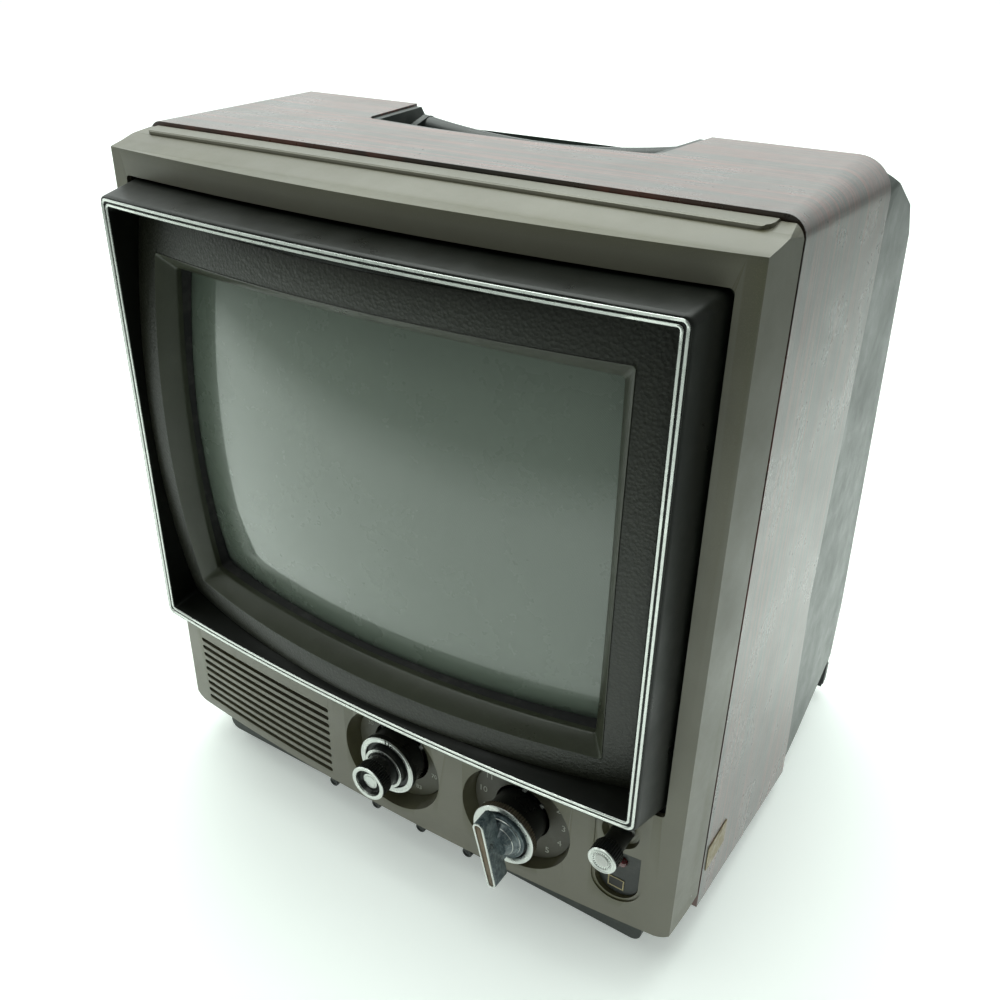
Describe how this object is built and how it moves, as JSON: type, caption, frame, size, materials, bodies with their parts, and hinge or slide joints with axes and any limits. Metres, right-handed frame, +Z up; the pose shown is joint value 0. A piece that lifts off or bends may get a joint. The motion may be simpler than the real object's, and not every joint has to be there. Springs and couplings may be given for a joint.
{
  "type": "portable television",
  "caption": "Portable television with a bowed bronze mask, hooded screen, round tuning dials, wood-grain wrap and a folding carry handle.",
  "frame": {"origin": "bottom centre: on the ground midway between left and right and midway between the foremost knob and the rearmost cord hook", "axes": "+Z up, +X to the right of a viewer facing the screen, the screen faces -Y"},
  "size_m": [0.3406, 0.309, 0.3839],
  "materials": {
    "wood_print": "reddish-brown wood-grain print, satin, lightly scratched",
    "bronze_mask": "bronze-taupe metallic paint on moulded plastic",
    "hood_brown": "charcoal brown",
    "silver_trim": "bright plated line, slightly worn",
    "bezel_brown": "dark brown, leather-like grain",
    "black_rubber": "dull black",
    "tube_glass": "grey-green face glass",
    "tube_coating": "dark graphite coating over glass",
    "steel": "plain sheet",
    "screws": "zinc plated",
    "copper": "varnished winding",
    "pale_plastic": "off-white moulding",
    "board": "brown phenolic board",
    "dial_brown": "dark brown with pale marks",
    "dial_bronze": "bronze with black numbers",
    "black_knob": "black, knurled",
    "blade_grey": "dark blue-grey",
    "lamp_plate": "dark grey",
    "jewel_red": "clear red lens",
    "badge": "blank bronze plate",
    "peg_black": "black",
    "pot_metal": "plain can",
    "speaker_steel": "black basket",
    "magnet": "ferrite",
    "cone_paper": "black paper",
    "flyback": "potted winding",
    "heatsink": "black anodised",
    "can_blue": "sleeved can",
    "plinth_green": "dark green-grey",
    "back_grey": "grey-green, fine texture",
    "black_plastic": "black",
    "screws_brass": "plated",
    "liner_green": "dark green-grey",
    "grip_black": "black, polished by use"
  },
  "bodies": {
    "set": {"cabinet": "wood_print", "front_mask": "bronze_mask", "hood": "hood_brown", "trim_outer": "silver_trim", "trim_inner": "silver_trim", "screen_bezel": "bezel_brown", "screen_gasket": "black_rubber", "crt_panel": "tube_glass", "crt_funnel": "tube_coating", "rimband": "steel", "crt_screws": "screws", "deflection_yoke": "copper", "neck_magnets": "pale_plastic", "socket_board": "board", "uhf_plate": "dial_brown", "vhf_plate": "dial_bronze", "lamp_plate": "lamp_plate", "pilot_jewel": "jewel_red", "badge_blank": "badge", "control_pots": "board", "uhf_tuner": "steel", "vhf_tuner": "steel", "tuner_bracket": "steel", "volume_pot": "pot_metal", "speaker_frame": "speaker_steel", "speaker_magnet": "magnet", "speaker_cone": "cone_paper", "speaker_screws": "screws", "main_board": "board", "flyback": "flyback", "heatsink": "heatsink", "capacitors": "can_blue", "plinth": "plinth_green", "feet": "black_rubber", "back_cover": "back_grey", "back_screws": "screws", "terminal_plate": "black_plastic", "terminal_screws": "screws_brass", "mains_inlet": "black_plastic", "cord_hooks": "black_plastic", "handle_liner": "liner_green", "handle_pins": "screws", "side_badge": "badge"},
    "uhf_selector": {"uhf_ring": "black_knob", "uhf_ring_face": "silver_trim"},
    "uhf_tuning": {"uhf_fine_knob": "black_knob", "uhf_fine_rim": "silver_trim", "uhf_fine_cap": "silver_trim"},
    "vhf_tuning": {"vhf_ring": "black_knob", "vhf_ring_face": "silver_trim"},
    "vhf_channel": {"vhf_knob": "blade_grey", "vhf_blade_trim": "silver_trim"},
    "volume_stem": {"volume_sleeve": "black_knob"},
    "volume": {"volume_knob": "black_knob", "volume_face": "silver_trim"},
    "peg_a": {"peg_1": "peg_black"},
    "peg_b": {"peg_2": "peg_black"},
    "peg_c": {"peg_3": "peg_black"},
    "peg_d": {"peg_4": "peg_black"},
    "carry_handle": {"handle": "grip_black"}
  },
  "joints": [
    {"name": "uhf_selector_turn", "type": "hinge", "parent": "set", "child": "uhf_selector", "pos_m": [0.0012, -0.13, 0.0676], "axis": [0, 1, 0], "range_deg": [-150, 150]},
    {"name": "uhf_tuning_turn", "type": "hinge", "parent": "set", "child": "uhf_tuning", "pos_m": [0.0012, -0.144, 0.0676], "axis": [0, 1, 0], "range_deg": [-150, 150]},
    {"name": "vhf_tuning_turn", "type": "hinge", "parent": "set", "child": "vhf_tuning", "pos_m": [0.0804, -0.135, 0.0676], "axis": [0, 1, 0], "continuous": true},
    {"name": "vhf_channel_turn", "type": "hinge", "parent": "set", "child": "vhf_channel", "pos_m": [0.0804, -0.146, 0.0676], "axis": [0, 1, 0], "continuous": true},
    {"name": "volume_push", "type": "slide", "parent": "set", "child": "volume_stem", "axis": [0, 1, 0], "range_m": [0, 0.004]},
    {"name": "volume_turn", "type": "hinge", "parent": "volume_stem", "child": "volume", "pos_m": [0.137, -0.136, 0.088], "axis": [0, 1, 0], "range_deg": [0, 300]},
    {"name": "peg_a_turn", "type": "hinge", "parent": "set", "child": "peg_a", "pos_m": [-0.0495, -0.118, 0.0183], "axis": [0, 1, 0], "range_deg": [-135, 135]},
    {"name": "peg_b_turn", "type": "hinge", "parent": "set", "child": "peg_b", "pos_m": [-0.0172, -0.118, 0.0183], "axis": [0, 1, 0], "range_deg": [-135, 135]},
    {"name": "peg_c_turn", "type": "hinge", "parent": "set", "child": "peg_c", "pos_m": [0.0151, -0.118, 0.0183], "axis": [0, 1, 0], "range_deg": [-135, 135]},
    {"name": "peg_d_turn", "type": "hinge", "parent": "set", "child": "peg_d", "pos_m": [0.0474, -0.118, 0.0183], "axis": [0, 1, 0], "range_deg": [-135, 135]},
    {"name": "handle_lift", "type": "hinge", "parent": "set", "child": "carry_handle", "pos_m": [0, -0.008, 0.366], "axis": [1, 0, 0], "range_deg": [0, 88]}
  ]
}
